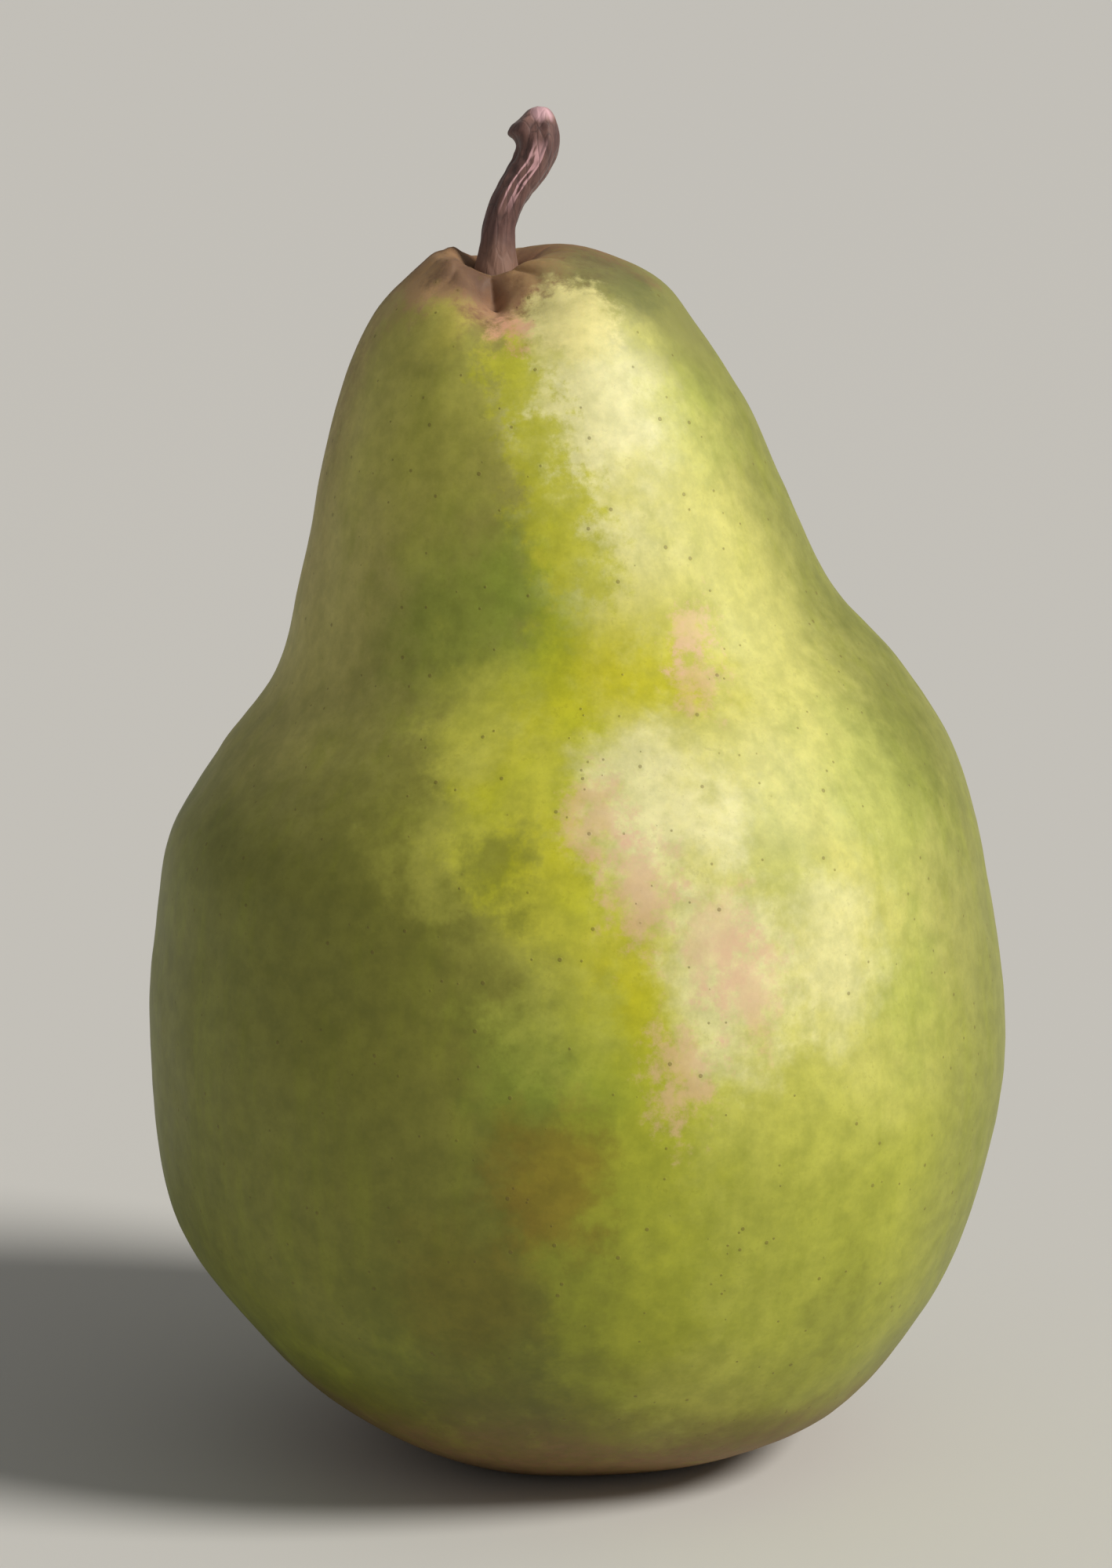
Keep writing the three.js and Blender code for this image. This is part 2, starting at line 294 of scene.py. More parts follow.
def creases(points, from_stalk):
    """Folds that run out from the stalk: one down the cleft, and finer ones all round."""
    angle = np.arctan2(points[:, 1] - STALK_FOOT[1], points[:, 0] - STALK_FOOT[0])
    at_top = points[:, 2] > SHOULDER_HEIGHT - 15
    near = at_top * smoothstep(from_stalk, 2.1, 3.6) * (1 - smoothstep(from_stalk, 4.5, 9.5))
    wander = 0.07 * np.sin(1.3 * from_stalk)
    in_cleft = angle_bump(angle, CLEFT_ANGLE, 1.5)
    turn = 5.5 * angle + 0.5 * np.sin(0.9 * from_stalk) + 0.8 * np.sin(2 * angle + 0.7)
    fine = (1 - np.abs(np.sin(turn))) ** 2
    fold_reach = smoothstep(from_stalk, 2.1, 4.0) * (1 - smoothstep(from_stalk, 6.5, 12.0))
    fold = at_top * fold_reach * angle_bump(angle + wander, CLEFT_ANGLE, 0.34)
    return -FOLD_DEPTH * fold - near * (CREASE_DEPTH + CLEFT_CREASE_DEPTH * in_cleft) * fine


def make_skin():
    """The fruit's skin, with shallow dents, a faint grain and creases round the stalk."""
    section = smooth_line(skin_section(), SKIN_SPACING)
    piece = make_mesh("pear_skin", [shell(skin_points(section, SKIN_SIDES))])
    points, outwards = vertices(piece), normals(piece)
    from_stalk = np.hypot(points[:, 0] - STALK_FOOT[0], points[:, 1] - STALK_FOOT[1])
    in_socket = (points[:, 2] > WAIST_HEIGHT) * (1 - smoothstep(from_stalk, 1.8, 3.0))
    free = smoothstep(points[:, 2], 0.4, 4.0) * (1 - in_socket)
    dents = DENT_DEPTH * sum_noise(points, DENT_SIZE, 2)
    grain = GRAIN_DEPTH * sum_noise(points + 50, GRAIN_SIZE, 2)
    points += outwards * (free * (dents + grain + creases(points, from_stalk)))[:, None]
    settle(piece, points, "fruit")
    return piece


class Path:
    """A smooth line through some points, measured along its length."""

    spacing = 0.02

    def __init__(self, guides):
        self.points = smooth_line(guides, self.spacing)
        steps = np.linalg.norm(np.diff(self.points, axis=0), axis=1)
        self.travel = np.concatenate([[0], np.cumsum(steps)])
        self.length = self.travel[-1]

    def at(self, along):
        """Where the line is at these shares of its length."""
        travel = np.clip(along, 0, 1) * self.length
        return np.stack([np.interp(travel, self.travel, axis) for axis in self.points.T], -1)

    def heading(self, along):
        ahead = self.at(np.minimum(along + 0.005, 1)) - self.at(np.maximum(along - 0.005, 0))
        return ahead / np.linalg.norm(ahead, axis=-1, keepdims=True)


def tube(path, along, reach, angle):
    """Rings round a path: one for each share of its length, reach away from it."""
    heading = path.heading(along)
    sideways = np.array((1.0, 0.0, 0.0))
    right = sideways - heading * (heading @ sideways)[:, None]
    right /= np.linalg.norm(right, axis=-1, keepdims=True)
    back = np.cross(heading, right)
    cos, sin = np.cos(angle)[None, :, None], np.sin(angle)[None, :, None]
    out = cos * right[:, None] + sin * back[:, None]
    return path.at(along)[:, None] + reach[:, :, None] * out


STALK_LINE = [
    (0, 0, CLEARANCE - SOCKET_DEPTH),
    (0, 0, -2.5),
    (0.15, 0.1, 0),
    (0.3, 0.3, 2),
    (0.8, 0.5, 3.8),
    (1.7, 0.9, 5.5),
    (2.9, 1.4, 7.2),
    (3.55, 1.9, 9),
    (3.6, 2.3, 10.5),
    (3.45, 2.6, 11.9),
]

# Share of the stalk's length, and its radius there
STALK_SECTION = [
    (0, 0),
    (0, STALK_ROOT_RADIUS * 0.6),
    (0.05, STALK_ROOT_RADIUS - 0.1),
    (0.14, STALK_ROOT_RADIUS),
    (0.25, STALK_ROOT_RADIUS - 0.25),
    (0.38, STALK_RADIUS + 0.08),
    (0.55, STALK_RADIUS),
    (0.72, STALK_KNOB_RADIUS - 0.15),
    (0.86, STALK_KNOB_RADIUS),
    (0.93, STALK_KNOB_RADIUS - 0.3),
    (0.985, STALK_KNOB_RADIUS * 0.5),
    (1, 0),
]


def stalk_relief(angle, along):
    """Low ridges that wind up the stalk, and the blunt scar on the left of its knob."""
    ridges = 0.05 * np.cos(5 * angle + 6 * along) + 0.03 * np.cos(9 * angle - 4 * along)
    beside_scar = np.abs((along - 0.9) / 0.068)
    scar = SCAR_REACH * angle_bump(angle, math.pi, 1.5) * np.exp(-(beside_scar**2.6))
    return 1 + smoothstep(along, 0.25, 0.35) * ridges + scar


def make_stalk():
    """The woody stalk, with fissured bark, wrinkles at its bends and a rough cut end."""
    path = Path(STALK_LINE)
    section = [(radius, along * path.length, 0) for along, radius in STALK_SECTION]
    radius, travel, _ = smooth_line(section, STALK_SPACING).T
    radius, along = np.maximum(radius, 0), np.clip(travel / path.length, 0, 1)
    angle = np.arange(STALK_SIDES) * TAU / STALK_SIDES
    turn, share = np.meshgrid(angle, along)
    wide = np.broadcast_to(radius[:, None], turn.shape)
    on_bark = np.stack([2.2 * np.cos(turn), 2.2 * np.sin(turn), share * 5.0], -1).reshape(-1, 3)
    fissures = sum_noise(on_bark, 0.55, 3).reshape(turn.shape)
    lumps = sum_noise(on_bark * (1, 1, 2.2) + 20, 1.6, 2).reshape(turn.shape)
    wrinkles = np.sin(share * 95 + 1.5 * np.sin(turn)) * np.exp(-(((share - 0.62) / 0.16) ** 2))
    relief = stalk_relief(turn, share) + FISSURE_DEPTH * fissures + LUMP_DEPTH * lumps
    relief += WRINKLE_DEPTH * wrinkles
    piece = make_mesh("pear_stalk", [shell(tube(path, along, wide * relief, angle))])
    points = vertices(piece) + (*STALK_FOOT, SHOULDER_HEIGHT)
    settle(piece, points, "stem")
    return piece


# The dried flower tube's section, as (radius, height, 0), and a sepal's middle line
CUP_SECTION = [
    (0, CUP_TOP - 1.0, 0),
    (1.4, CUP_TOP - 1.2, 0),
    (2.3, CUP_TOP - 1.8, 0),
    (2.7, CUP_TOP - 0.9, 0),
    (2.0, CUP_TOP, 0),
    (0, CUP_TOP, 0),
]
SEPAL_LINE = [
    (1.8, 0, CUP_TOP - 1.0),
    (3.5, 0, CUP_TOP - 1.7),
    (5.1, 0, CUP_TOP - 2.5),
    (6.1, 0, CUP_TOP - 3.5),
    (6.4, 0, CUP_TOP - 4.5),
]


def cup_shell():
    radius, height, _ = smooth_line(CUP_SECTION, 0.15).T
    angle = np.arange(CUP_SIDES) * TAU / CUP_SIDES
    woolly = 1 + 0.05 * np.cos(5 * angle) + 0.03 * np.cos(13 * angle + 1)
    reach = np.maximum(radius, 0)[:, None] * woolly
    level = np.broadcast_to(height[:, None], reach.shape)
    return shell(np.stack([reach * np.cos(angle), reach * np.sin(angle), level], -1))


def sepal_shell(number):
    """One dry sepal: a pointed tongue, hollowed along its length, with a wavy thin edge."""
    path = Path(SEPAL_LINE)
    share = np.concatenate([[0, 0.004], np.linspace(0.03, 0.97, 46), [0.996, 1]])
    along = share * (0.92 + 0.08 * math.sin(2.3 * number))
    angle = np.arange(SEPAL_SIDES) * TAU / SEPAL_SIDES
    taper = 1 - 0.85 * smoothstep(along, 0.2, along[-1])
    taper *= np.sqrt(np.clip(np.minimum(share, 1 - share) / 0.06, 0, 1))
    width = 0.5 * SEPAL_WIDTH * (0.9 + 0.1 * math.cos(1.7 * number)) * taper
    across = np.cos(angle)[None, :] * np.ones_like(share)[:, None]
    wavy = 1 + 0.09 * np.sin(31 * share + number)[:, None] * np.abs(across)
    edge = 0.5 * SEPAL_THICKNESS * (0.35 + 0.65 * np.sqrt(taper))[:, None]
    thick = np.sin(angle)[None, :] * edge * np.minimum(taper * 4, 1)[:, None]
    crumple = 0.1 * np.sin(23 * share[:, None] + 5 * across + number) * np.abs(across)
    lift = thick - 0.4 * across**2 * taper[:, None] + crumple
    lift += 0.5 * math.sin(3.1 * number) * along[:, None] * across * taper[:, None]
    heading = path.heading(along)
    outwards = np.stack([-heading[:, 2], 0 * share, heading[:, 0]], -1)
    points = path.at(along)[:, None] + lift[:, :, None] * outwards[:, None]
    points[:, :, 1] = across * width[:, None] * wavy
    return shell(rotated(points, number * TAU / SEPAL_COUNT + 0.3))


def rotated(points, turn):
    """Points turned about the vertical axis."""
    x, y, z = points[..., 0], points[..., 1], points[..., 2]
    cos, sin = math.cos(turn), math.sin(turn)
    return np.stack([x * cos - y * sin, x * sin + y * cos, z], -1)


def stamen_shell(number):
    """One withered stamen: a thin bent thread with a small dry head."""
    draw = np.random.default_rng(number)
    base = 0.7 + 0.6 * draw.random()
    drop = 1.7 + 0.8 * draw.random()
    bend = draw.uniform(-0.8, 1.1)
    side = draw.uniform(-0.5, 0.5)
    path = Path([
        (base, 0, CUP_TOP - 0.6),
        (base + 0.2 * bend, 0.3 * side, CUP_TOP - 1.2 - 0.3 * drop),
        (base + 0.7 * bend, side, CUP_TOP - 1.2 - 0.7 * drop),
        (base + bend, 1.3 * side, CUP_TOP - 1.2 - drop),
    ])
    share = np.concatenate([[0], np.linspace(0, 1, 18), [1]])
    radius = 0.1 + 0.14 * np.exp(-(((share - 0.9) / 0.08) ** 2))
    radius[[0, -1]] = 0
    angle = np.arange(STAMEN_SIDES) * TAU / STAMEN_SIDES
    grid = tube(path, share, np.repeat(radius[:, None], STAMEN_SIDES, axis=1), angle)
    return shell(rotated(grid, (number + draw.uniform(-0.3, 0.3)) * TAU / STAMEN_COUNT))


def make_calyx():
    """The dried flower in the basin: the cup, its sepals and a ring of withered stamens."""
    shells = [cup_shell()]
    shells += [sepal_shell(i) for i in range(SEPAL_COUNT)]
    shells += [stamen_shell(i) for i in range(STAMEN_COUNT)]
    piece = make_mesh("pear_calyx", shells)
    settle(piece, vertices(piece), "calyx")
    return piece


# --- Materials --------------------------------------------------------------------------------

def srgb(red, green, blue):
    """A colour as the shader takes it, from its 0 to 255 screen values."""
    screen = [value / 255 for value in (red, green, blue)]
    light = [v / 12.92 if v <= 0.04045 else ((v + 0.055) / 1.055) ** 2.4 for v in screen]
    return (*light, 1.0)


# The skin's ground: its lit side, partly paler with painted light, its flank, darker with painted
# shade, its back, and its shaded side, olive with painted shade, which also darkens it low down
LEMON_AND_PAINTED_LIGHT = srgb(212, 209, 118)
YELLOW_GREEN = srgb(198, 200, 46)
BELLY_GREEN = srgb(166, 172, 54)
FLANK_PAINTED_SHADE = srgb(134, 137, 68)
BACK_GREEN = srgb(158, 158, 72)
BELLY_PAINTED_SHADE = srgb(137, 138, 54)
NECK_PAINTED_SHADE = srgb(164, 161, 78)
BELLY_FAR_PAINTED_SHADE = srgb(134, 136, 62)
NECK_FAR_PAINTED_SHADE = srgb(194, 187, 110)
LOW_PAINTED_SHADE = srgb(106, 114, 24)
FOOT_OLIVE = srgb(104, 99, 28)
SHOULDER_OLIVE = srgb(140, 138, 78)

# Its streaks, halos and pores, and the tones and flecks that multiply the ground
STREAK = srgb(150, 158, 44)
HALO = srgb(140, 146, 40)
PORE = srgb(112, 94, 42)
DARK_TONE = (0.78, 0.78, 0.68, 1)
LIGHT_TONE = (1.16, 1.13, 1.1, 1)
FLECK_TONE = (0.62, 0.6, 0.5, 1)

DARK_RUSSET = srgb(112, 77, 60)
LIGHT_RUSSET = srgb(160, 122, 86)
MOUTH_PINK = srgb(228, 168, 142)

DARK_BARK = srgb(86, 56, 52)
LIGHT_BARK = srgb(114, 80, 72)
WORN_BARK = srgb(146, 104, 98)
STALK_PAINTED_HIGHLIGHT = srgb(226, 176, 180)
CRACK = srgb(52, 34, 32)
CUT_END = srgb(196, 150, 138)
KNOB_PAINTED_HIGHLIGHT = srgb(234, 188, 196)
ROOT_TAN = srgb(158, 120, 98)

DARK_SEPAL = srgb(58, 40, 28)
LIGHT_SEPAL = srgb(112, 82, 54)
SEPAL_VEIN = srgb(150, 118, 80)

# Directions in degrees, seen from above: 0 is the right, -90 the front. Towards the lit side the
# skin is paler with painted light, towards the shaded side olive with painted shade
LIT_SIDE = -22
FLANK_SIDE = 6
BACK_SIDE = 100
LEFT_SIDE = 178
SHADED_SIDE = 190


class Shader:
    """A material's node tree, with one short call for each kind of node in use."""

    def __init__(self, name):
        self.material = bpy.data.materials.new(name)
        self.material.use_nodes = True
        self.tree = self.material.node_tree
        self.surface = self.tree.nodes["Principled BSDF"]
        metres = self.tree.nodes.new("ShaderNodeTexCoord").outputs["Object"]
        self.place = self.node("VectorMath", {0: metres, "Scale": 1 / MM}, operation="SCALE")

    def node(self, kind, inputs, output=0, **settings):
        made = self.tree.nodes.new("ShaderNode" + kind)
        for key, value in settings.items():
            setattr(made, key, value)
        for key, value in inputs.items():
            self.feed(made.inputs[key], value)
        return made.outputs[output]

    def feed(self, socket, value):
        if isinstance(value, bpy.types.NodeSocket):
            self.tree.links.new(value, socket)
        else:
            socket.default_value = value

    def calc(self, operation, *values):
        return self.node("Math", dict(enumerate(values)), operation=operation)

    def mix(self, amount, first, second, blend="MIX"):
        inputs = {0: amount, 6: first, 7: second}
        return self.node("Mix", inputs, output=2, data_type="RGBA", blend_type=blend)

    def over(self, colour, tint, where, strength, blend="MIX"):
        """The colour with a tint over it, where and as strongly as told."""
        return self.mix(self.calc("MULTIPLY", where, strength), colour, tint, blend)

    def step(self, value, low, high, under=0.0, above=1.0):
        """0 where the value is under low, 1 where it is over high, smooth between."""
        inputs = {"Value": value, 1: low, 2: high, 3: under, 4: above}
        return self.node("MapRange", inputs, interpolation_type="SMOOTHSTEP")

    def away(self, value, low, high):
        """1 where the value is under low, 0 where it is over high, smooth between."""
        return self.step(value, low, high, 1.0, 0.0)

    def height(self):
        return self.node("SeparateXYZ", {0: self.place}, output=2)

    def stretched(self, x, y, z):
        return self.node("VectorMath", {0: self.place, 1: (x, y, z)}, operation="MULTIPLY")

    def dot(self, vector, way):
        inputs = {0: vector, 1: way}
        return self.node("VectorMath", inputs, output="Value", operation="DOT_PRODUCT")

    def noise(self, size, detail, roughness=0.5, vector=None):
        """Noise from 0 to 1 with features of this size in millimetres."""
        inputs = {"Vector": vector or self.place, "Scale": 1 / size, "Detail": detail}
        return self.node("TexNoise", inputs | {"Roughness": roughness})

    def drift(self, size, detail, roughness):
        """The same noise, centred on 0."""
        return self.calc("SUBTRACT", self.noise(size, detail, roughness), 0.5)

    def cells(self, size, output="Distance", vector=None, **settings):
        inputs = {"Vector": vector or self.place, "Scale": 1 / size}
        return self.node("TexVoronoi", inputs, output=output, **settings)

    def bump(self, height, depth, strength, under=None):
        inputs = {"Height": height, "Distance": depth * MM, "Strength": strength}
        if under:
            inputs["Normal"] = under
        return self.node("Bump", inputs)

    def finish(self, **inputs):
        for key, value in inputs.items():
            self.feed(self.surface.inputs[key.replace("_", " ")], value)
        return self.material


def facing(s, degrees):
    """From -1 to 1: how far the skin lies towards this direction, seen from above."""
    lean = s.calc("MULTIPLY", s.step(s.height(), *NECK_HEIGHTS), NECK_LEAN)
    core = s.node("CombineXYZ", {0: lean, 1: 0.0, 2: s.height()})
    outwards = s.node("VectorMath", {0: s.place, 1: core}, operation="SUBTRACT")
    unit = s.node("VectorMath", {0: outwards}, operation="NORMALIZE")
    return s.dot(unit, (math.cos(math.radians(degrees)), math.sin(math.radians(degrees)), 0.0))


def patch(s, place, inner, outer, ragged=0.0, stretch=(1, 1, 1)):
    """1 near a place and 0 away from it, with a ragged edge between."""
    near = s.node("VectorMath", {0: s.place, 1: place}, operation="SUBTRACT")
    near = s.node("VectorMath", {0: near, 1: stretch}, operation="MULTIPLY")
    apart = s.node("VectorMath", {0: near}, output="Value", operation="LENGTH")
    return s.away(s.calc("ADD", apart, ragged), inner, outer)


def dots(s, size, radius, keep):
    """Small round marks: 1 inside a mark, 0 between, of the share of cells that is kept."""
    pick = s.node("SeparateColor", {0: s.cells(size, "Color")})
    kept = s.away(pick, keep, keep + 0.05)
    edge = s.away(s.cells(size), radius * 0.6 / size, radius / size)
    return s.calc("MULTIPLY", edge, kept)


# Layers of soft patches of another colour on the skin: some are its own colour, and some are
# painted light, painted highlights and painted shade, as each layer says. Each has its tint, how
# its patches are stretched, and the
# patches: the direction from the core in degrees and the height of the middle, how far the patch
# reaches, and how strong it is
# Partly the skin's own yellow, partly painted light where the top of the belly catches the light
YELLOW_AND_PAINTED_LIGHT_LAYER = srgb(196, 192, 26), (1, 1, 0.8), [
    ((-74, 71), 9.5, 1.0),
    ((-102, 67), 8, 0.6),
    ((-94, 58), 8, 0.6),
    ((-85, 48), 7, 0.8),
]
GREEN_LAYER = srgb(140, 162, 50), (1, 1, 0.9), [
    ((-46, 91), 9, 0.3),
    ((-94, 77), 7, 0.4),
    ((-109, 74), 11, 0.5),
    ((-38, 60), 12, 0.35),
    ((-60, 56), 8, 0.3),
    ((-43, 45), 8, 0.3),
    ((-94, 42), 9, 0.6),
]
# Painted light: paler patches along the edge of the painted shade and low on the belly
PALE_PAINTED_LIGHT_LAYER = srgb(206, 206, 92), (1, 1, 0.9), [
    ((-125, 88), 12, 0.45),
    ((-108, 67), 8, 0.7),
    ((-97, 63), 8, 0.4),
    ((-110, 59), 8, 0.5),
    ((-95, 52), 9, 0.4),
    ((-93, 45), 7, 0.4),
    ((-64, 39), 9, 0.5),
    ((-71, 12), 8, 0.4),
]
# Partly the skin's own olive, partly painted shade towards the right edge and low at the left
OLIVE_AND_PAINTED_SHADE_LAYER = srgb(108, 114, 38), (1, 1, 0.7), [
    ((-101, 57), 4, 0.5),
    ((-97, 24), 11, 0.5),
    ((-24, 63), 9, 0.45),
    ((-10, 70), 7, 0.35),
    ((-50, 19), 7, 0.35),
]
# Painted highlights: pale cream patches on the lit belly and neck
CREAM_PAINTED_HIGHLIGHT_LAYER = srgb(238, 234, 178), (1, 1, 0.75), [
    ((-72, 90), 9, 0.85),
    ((-74, 80), 8, 0.4),
    ((-78, 61), 9, 0.85),
    ((-55, 50), 8, 0.6),
    ((-69, 48), 8, 0.75),
]
# Painted light: a bright yellow band along the edge of the painted shade on the neck
BAND_PAINTED_LIGHT_LAYER = srgb(194, 194, 58), (1.2, 1, 0.8), [
    ((-99, 95.5), 3.5, 0.6),
    ((-93, 93), 4.5, 0.8),
    ((-89, 88), 4.5, 0.8),
    ((-86, 83), 5, 0.8),
    ((-83, 79), 5, 0.8),
]
BROWN_LAYER = srgb(146, 118, 30), (1, 1, 0.8), [
    ((-94, 32), 7, 0.6),
    ((-104, 22), 9, 0.25),
]
PINK_LAYER = srgb(232, 186, 158), (1.2, 1, 0.75), [
    ((-62, 73), 3.2, 0.5),
    ((-64, 69.5), 3.4, 0.45),
    ((-87, 60.5), 4.0, 0.5),
    ((-82, 55.5), 4.6, 0.6),
    ((-72, 51), 5.0, 0.4),
    ((-68, 47.5), 4.8, 0.5),
    ((-77, 40.5), 4.2, 0.55),
]

# Where the russet is lighter or darker, some of it painted light in the shade of the flap and the
# cleft, and where the skin shows at its edge, one patch of it painted light: the middle of each
# patch, from where to where it fades, how strong it is, and its tint
RUSSET_TONES_AND_PAINTED_LIGHT = [
    # The first two are painted light, lifting the russet where the left flap and the cleft lie in
    # shade
    ((-14.0, -6.3, 98.5), 2.5, 8.0, 0.95, srgb(196, 158, 112)),
    ((-6.0, -8.0, 98.0), 1.0, 3.6, 0.7, srgb(184, 142, 110)),
    ((-3.2, -6.4, 100.8), 1.0, 4.5, 0.7, srgb(192, 156, 108)),
    ((-9.2, -6.0, 100.2), 1.2, 4.4, 0.75, srgb(94, 68, 56)),
]
RUSSET_EDGES_AND_PAINTED_LIGHT = [
    ((2.2, -6.0, 101.0), 2.5, 7.0, 0.65, srgb(108, 112, 68)),
    # Painted light: pale cream on the skin right of the cleft
    ((-1.0, -11.0, 97.5), 2.5, 5.0, 0.95, srgb(238, 230, 158)),
    ((-11.5, -10.2, 96.8), 1.0, 4.5, 0.75, srgb(192, 186, 84)),
    ((-14.4, -8.4, 95.2), 1.2, 5.2, 0.85, srgb(190, 186, 94)),
]

# The rings of the fruit's outside, from its foot to its shoulder
SIDE_RINGS = smooth_line(skin_section()[4:18], 0.5)


def on_side(degrees, height):
    """The point on the fruit's side at this height, in this direction from its core."""
    radius = float(np.interp(height, SIDE_RINGS[:, 1], SIDE_RINGS[:, 0]))
    lean = NECK_LEAN * float(smoothstep(height, *NECK_HEIGHTS))
    angle = math.radians(degrees)
    return (lean + radius * math.cos(angle), radius * math.sin(angle), height)


def layered(s, colour, layer, ragged):
    """The colour with a layer of patches over it."""
    tint, stretch, patches = layer
    for (degrees, height), reach, strength in patches:
        there = patch(s, on_side(degrees, height), reach * 0.2, reach, ragged, stretch)
        colour = s.over(colour, tint, there, strength)
    return colour


def ground_colour(s):
    """The skin's ground colour: olive painted shade at the left, yellow-green in front, and at the
    right a pale colour that is partly painted light.
    """
    height = s.height()
    slow = s.drift(17.0, 3.0, 0.55)
    uneven = s.calc("MULTIPLY_ADD", slow, 22.0, height)
    ragged = s.calc("MULTIPLY", slow, 0.35)
    ragged = s.calc("MULTIPLY_ADD", s.drift(4.5, 6.0, 0.7), 0.34, ragged)
    right = s.calc("ADD", facing(s, LIT_SIDE), ragged)
    left = s.calc("SUBTRACT", facing(s, SHADED_SIDE), ragged)

    # The lit side, which is paler with painted light on the upper belly and the shoulder, with its
    # flank, darker with painted shade, and the back
    pale_from = s.calc("MULTIPLY_ADD", s.away(height, 40.0, 54.0), 0.14, 0.4)
    pale_from = s.calc("MULTIPLY_ADD", s.step(height, 84.0, 93.0), -0.1, pale_from)
    pale = s.step(s.calc("SUBTRACT", right, pale_from), 0.0, 0.16)
    colour = s.mix(pale, YELLOW_GREEN, LEMON_AND_PAINTED_LIGHT)
    colour = s.over(colour, BELLY_GREEN, s.away(uneven, 30.0, 52.0), 0.85)
    # Painted shade: a darker flank at the right
    flank = s.step(s.calc("MULTIPLY_ADD", ragged, 0.5, facing(s, FLANK_SIDE)), 0.58, 0.93)
    colour = s.over(colour, FLANK_PAINTED_SHADE, flank, 0.9)
    back = s.step(s.calc("MULTIPLY_ADD", ragged, 0.6, facing(s, BACK_SIDE)), -0.1, 0.75)
    colour = s.over(colour, BACK_GREEN, back, 0.85)

    # The shaded side, olive with painted shade, which starts further round at the waist and has a
    # softer edge at the back
    waist = s.calc("MULTIPLY", s.step(height, 50.0, 58.0), s.away(height, 66.0, 74.0))
    painted_shade_from = s.calc("MULTIPLY_ADD", waist, 0.27, 0.2)
    soft = s.calc("MULTIPLY_ADD", s.step(facing(s, BACK_SIDE), 0.0, 0.6), 0.68, 0.12)
    olive = s.step(s.calc("DIVIDE", s.calc("SUBTRACT", left, painted_shade_from), soft), 0.0, 1.0)
    on_neck = s.step(uneven, 52.0, 74.0)
    # Painted shade, with one colour near the lit side and another further round
    near = s.mix(on_neck, BELLY_PAINTED_SHADE, NECK_PAINTED_SHADE)
    far = s.mix(on_neck, BELLY_FAR_PAINTED_SHADE, NECK_FAR_PAINTED_SHADE)
    colour = s.mix(olive, colour, s.mix(s.step(left, 0.55, 1.0), near, far))

    # Painted shade low down away from the lit side, then a darker olive at the foot
    low = s.calc("MULTIPLY", s.away(uneven, 8.0, 34.0), s.away(right, -0.1, 0.62))
    colour = s.over(colour, LOW_PAINTED_SHADE, low, 0.9)
    return s.over(colour, FOOT_OLIVE, s.away(uneven, 5.0, 19.0), 0.9)


def russet_cover(s):
    """How much of the skin is brown and corky: round the stalk, down the left, and underneath."""
    height = s.height()
    ragged = s.calc("MULTIPLY", s.drift(4.5, 5.0, 0.65), 11.0)
    at_stalk = patch(s, (-7.5, -4.0, 101.5), 6.5, 12.5, ragged, (1, 1, 1.2))
    solid = patch(s, (-8.0, -4.0, 101.5), 5.0, 11.5, s.calc("MULTIPLY", ragged, 0.4))
    on_right = patch(s, (-1.0, -2.0, 103.0), 3.5, 8.5, ragged, (0.75, 1, 1.3))
    on_left = s.calc("MULTIPLY", s.step(facing(s, LEFT_SIDE), 0.8, 1.0), s.step(height, 58.0, 98.0))
    cover = s.calc("MAXIMUM", on_right, s.calc("MULTIPLY", on_left, 0.6))
    cover = s.calc("MAXIMUM", at_stalk, cover)
    low = s.away(s.calc("MULTIPLY_ADD", ragged, 0.6, height), 2.0, 12.0)
    cover = s.calc("MAXIMUM", cover, s.calc("MULTIPLY", low, 0.85))
    net = s.calc("MAXIMUM", s.step(s.noise(0.9, 5.0, 0.7), 0.36, 0.6), solid)
    return s.calc("MULTIPLY", cover, s.calc("MULTIPLY_ADD", net, 0.4, 0.6))


def russet_colour(s, ragged):
    colour = s.mix(s.noise(1.4, 4.0, 0.7), DARK_RUSSET, LIGHT_RUSSET)
    for place, inner, outer, strength, tint in RUSSET_TONES_AND_PAINTED_LIGHT:
        colour = s.over(colour, tint, patch(s, place, inner, outer, ragged), strength)
    return colour


